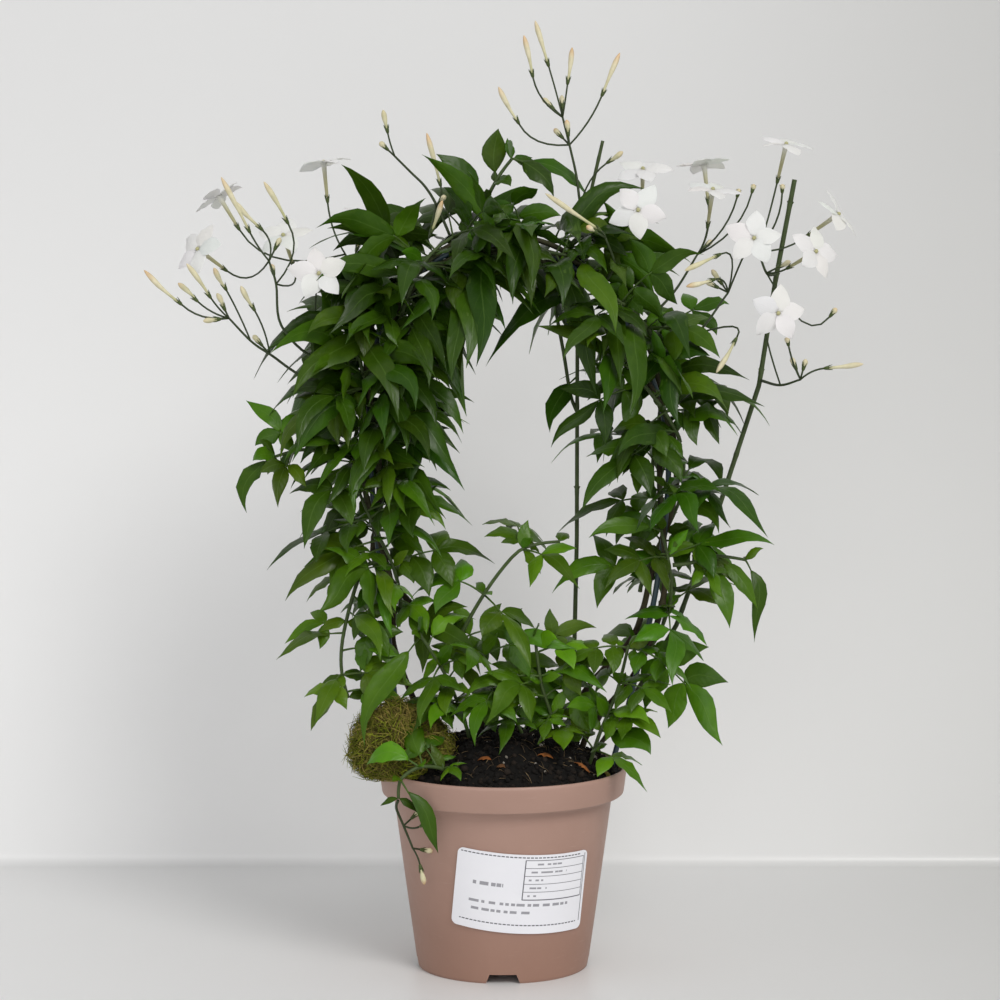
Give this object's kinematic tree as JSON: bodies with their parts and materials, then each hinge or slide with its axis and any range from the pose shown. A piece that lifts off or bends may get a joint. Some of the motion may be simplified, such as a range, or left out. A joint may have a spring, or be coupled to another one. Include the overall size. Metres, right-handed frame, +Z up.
{
  "type": "potted pink jasmine",
  "caption": "Climbing jasmine trained round a wire hoop as a leafy wreath with white star-shaped flowers, in a small plastic nursery pot with a label.",
  "frame": {"origin": "centre of the pot's base, on the surface it stands on", "axes": "+Z up, -Y towards the front, where the label and the wreath's face are seen, +X to the right seen from the front"},
  "size_m": [0.3123, 0.11, 0.4181],
  "materials": {
    "pot_plastic": "matt mauve-brown plastic",
    "label_paper": "white paper sticker",
    "compost": "moist black compost",
    "moss": "dull fibrous moss",
    "hoop_wire": "green-blue plastic-coated wire",
    "vine_bark": "thin brown-green bark",
    "green_stem": "smooth green stem",
    "leaf": "satin leaves on green stems",
    "spray": "smooth green stalks with cream buds",
    "petal": "soft white petals"
  },
  "bodies": {
    "root": {"bloom_left_1": "petal", "bloom_left_2": "petal", "bloom_left_3": "petal", "bloom_left_4": "petal", "bloom_left_5": "petal", "bloom_left_6": "petal", "bloom_right_1": "petal", "bloom_right_2": "petal", "bloom_right_3": "petal", "bloom_right_4": "petal", "bloom_right_5": "petal", "bloom_right_6": "petal", "bloom_right_7": "petal", "bloom_right_8": "petal", "bloom_right_9": "petal", "hoop": "hoop_wire", "label": "label_paper", "moss": "moss", "pot": "pot_plastic", "shoot_arch": "leaf", "shoot_base_1": "leaf", "shoot_base_2": "leaf", "shoot_base_3": "leaf", "shoot_base_4": "leaf", "shoot_crown": "leaf", "shoot_hang": "leaf", "shoot_left_1": "leaf", "shoot_left_2": "leaf", "shoot_left_3": "leaf", "shoot_left_4": "leaf", "shoot_left_5": "leaf", "shoot_left_out": "leaf", "shoot_right_1": "leaf", "shoot_right_2": "leaf", "shoot_right_3": "leaf", "shoot_right_4": "leaf", "shoot_right_5": "leaf", "shoot_right_out": "leaf", "shoot_rim": "leaf", "shoot_top_1": "leaf", "shoot_top_2": "leaf", "soil": "compost", "spray_crown_left": "spray", "spray_hang": "spray", "spray_left_back": "spray", "spray_left_high": "spray", "spray_left_low": "spray", "spray_right_1": "spray", "spray_right_2": "spray", "spray_right_3": "spray", "spray_right_4": "spray", "spray_right_5": "spray", "spray_top": "spray", "spray_top_front": "spray", "stem_centre": "green_stem", "stem_right": "green_stem", "vine_left_1": "vine_bark", "vine_left_2": "vine_bark", "vine_right_1": "vine_bark", "vine_right_2": "vine_bark"}
  },
  "joints": []
}
